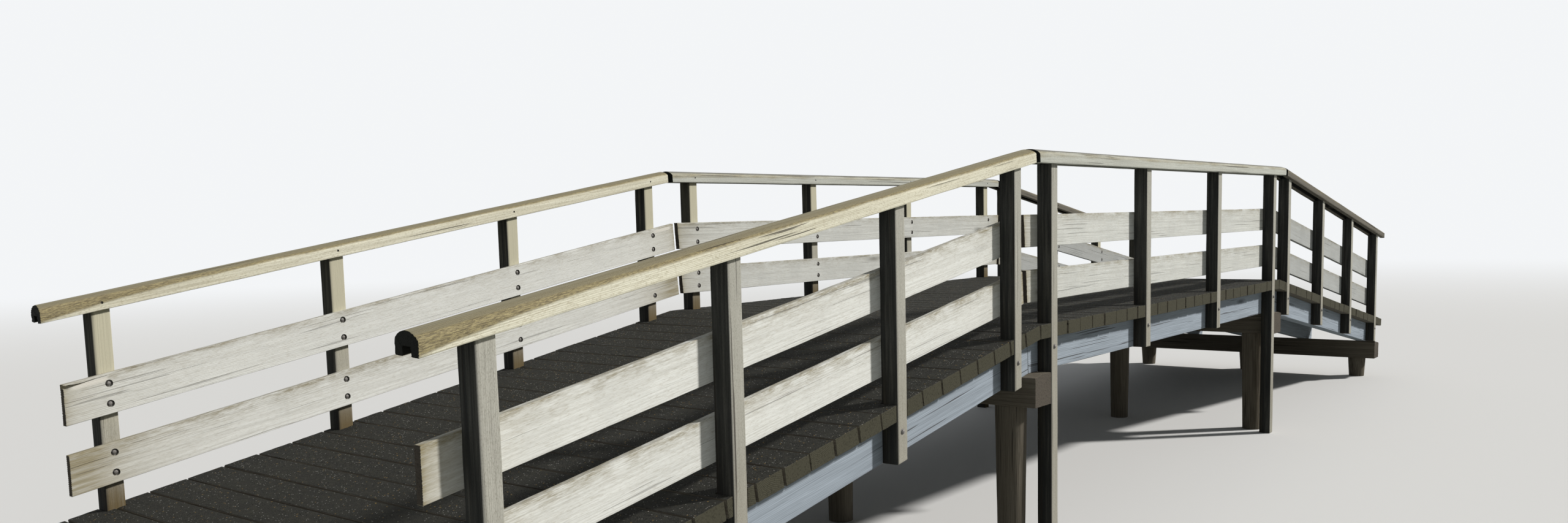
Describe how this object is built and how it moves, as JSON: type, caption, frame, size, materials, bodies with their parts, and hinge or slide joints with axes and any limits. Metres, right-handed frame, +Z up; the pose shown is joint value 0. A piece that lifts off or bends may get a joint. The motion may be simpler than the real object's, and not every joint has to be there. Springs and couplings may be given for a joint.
{
  "type": "footbridge",
  "caption": "Wooden footbridge with a level middle between ramps, crosswise deck planks on beams, railings of posts, knee boards and a rounded handrail, on rows of piles.",
  "frame": {"origin": "middle of the bridge in plan, at the foot of its piles", "axes": "+X along the bridge towards its far end, +Y to the left when walking along +X, +Z up"},
  "size_m": [14.1652, 3.192, 2.5209],
  "materials": {
    "handrail_wood": "weathered, matt",
    "board_wood": "bleached, matt",
    "post_wood": "weathered, matt",
    "deck_wood": "rough, matt",
    "beam_wood": "weathered, matt",
    "pile_wood": "damp, matt"
  },
  "bodies": {
    "root": {"cap_beam_far_bend": "pile_wood", "cap_beam_far_end": "pile_wood", "cap_beam_near_bend": "pile_wood", "cap_beam_near_end": "pile_wood", "deck_far": "deck_wood", "deck_middle": "deck_wood", "deck_near": "deck_wood", "edge_beam_left_far": "beam_wood", "edge_beam_left_middle": "beam_wood", "edge_beam_left_near": "beam_wood", "edge_beam_right_far": "beam_wood", "edge_beam_right_middle": "beam_wood", "edge_beam_right_near": "beam_wood", "handrail_left_far": "handrail_wood", "handrail_left_middle": "handrail_wood", "handrail_left_near": "handrail_wood", "handrail_right_far": "handrail_wood", "handrail_right_middle": "handrail_wood", "handrail_right_near": "handrail_wood", "inner_beams_far": "beam_wood", "inner_beams_middle": "beam_wood", "inner_beams_near": "beam_wood", "lower_board_left_far": "board_wood", "lower_board_left_middle": "board_wood", "lower_board_left_near": "board_wood", "lower_board_right_far": "board_wood", "lower_board_right_middle": "board_wood", "lower_board_right_near": "board_wood", "piles_far_bend": "pile_wood", "piles_far_end": "pile_wood", "piles_near_bend": "pile_wood", "piles_near_end": "pile_wood", "posts_left_far": "post_wood", "posts_left_middle": "post_wood", "posts_left_near": "post_wood", "posts_right_far": "post_wood", "posts_right_middle": "post_wood", "posts_right_near": "post_wood", "upper_board_left_far": "board_wood", "upper_board_left_middle": "board_wood", "upper_board_left_near": "board_wood", "upper_board_right_far": "board_wood", "upper_board_right_middle": "board_wood", "upper_board_right_near": "board_wood"}
  },
  "joints": []
}
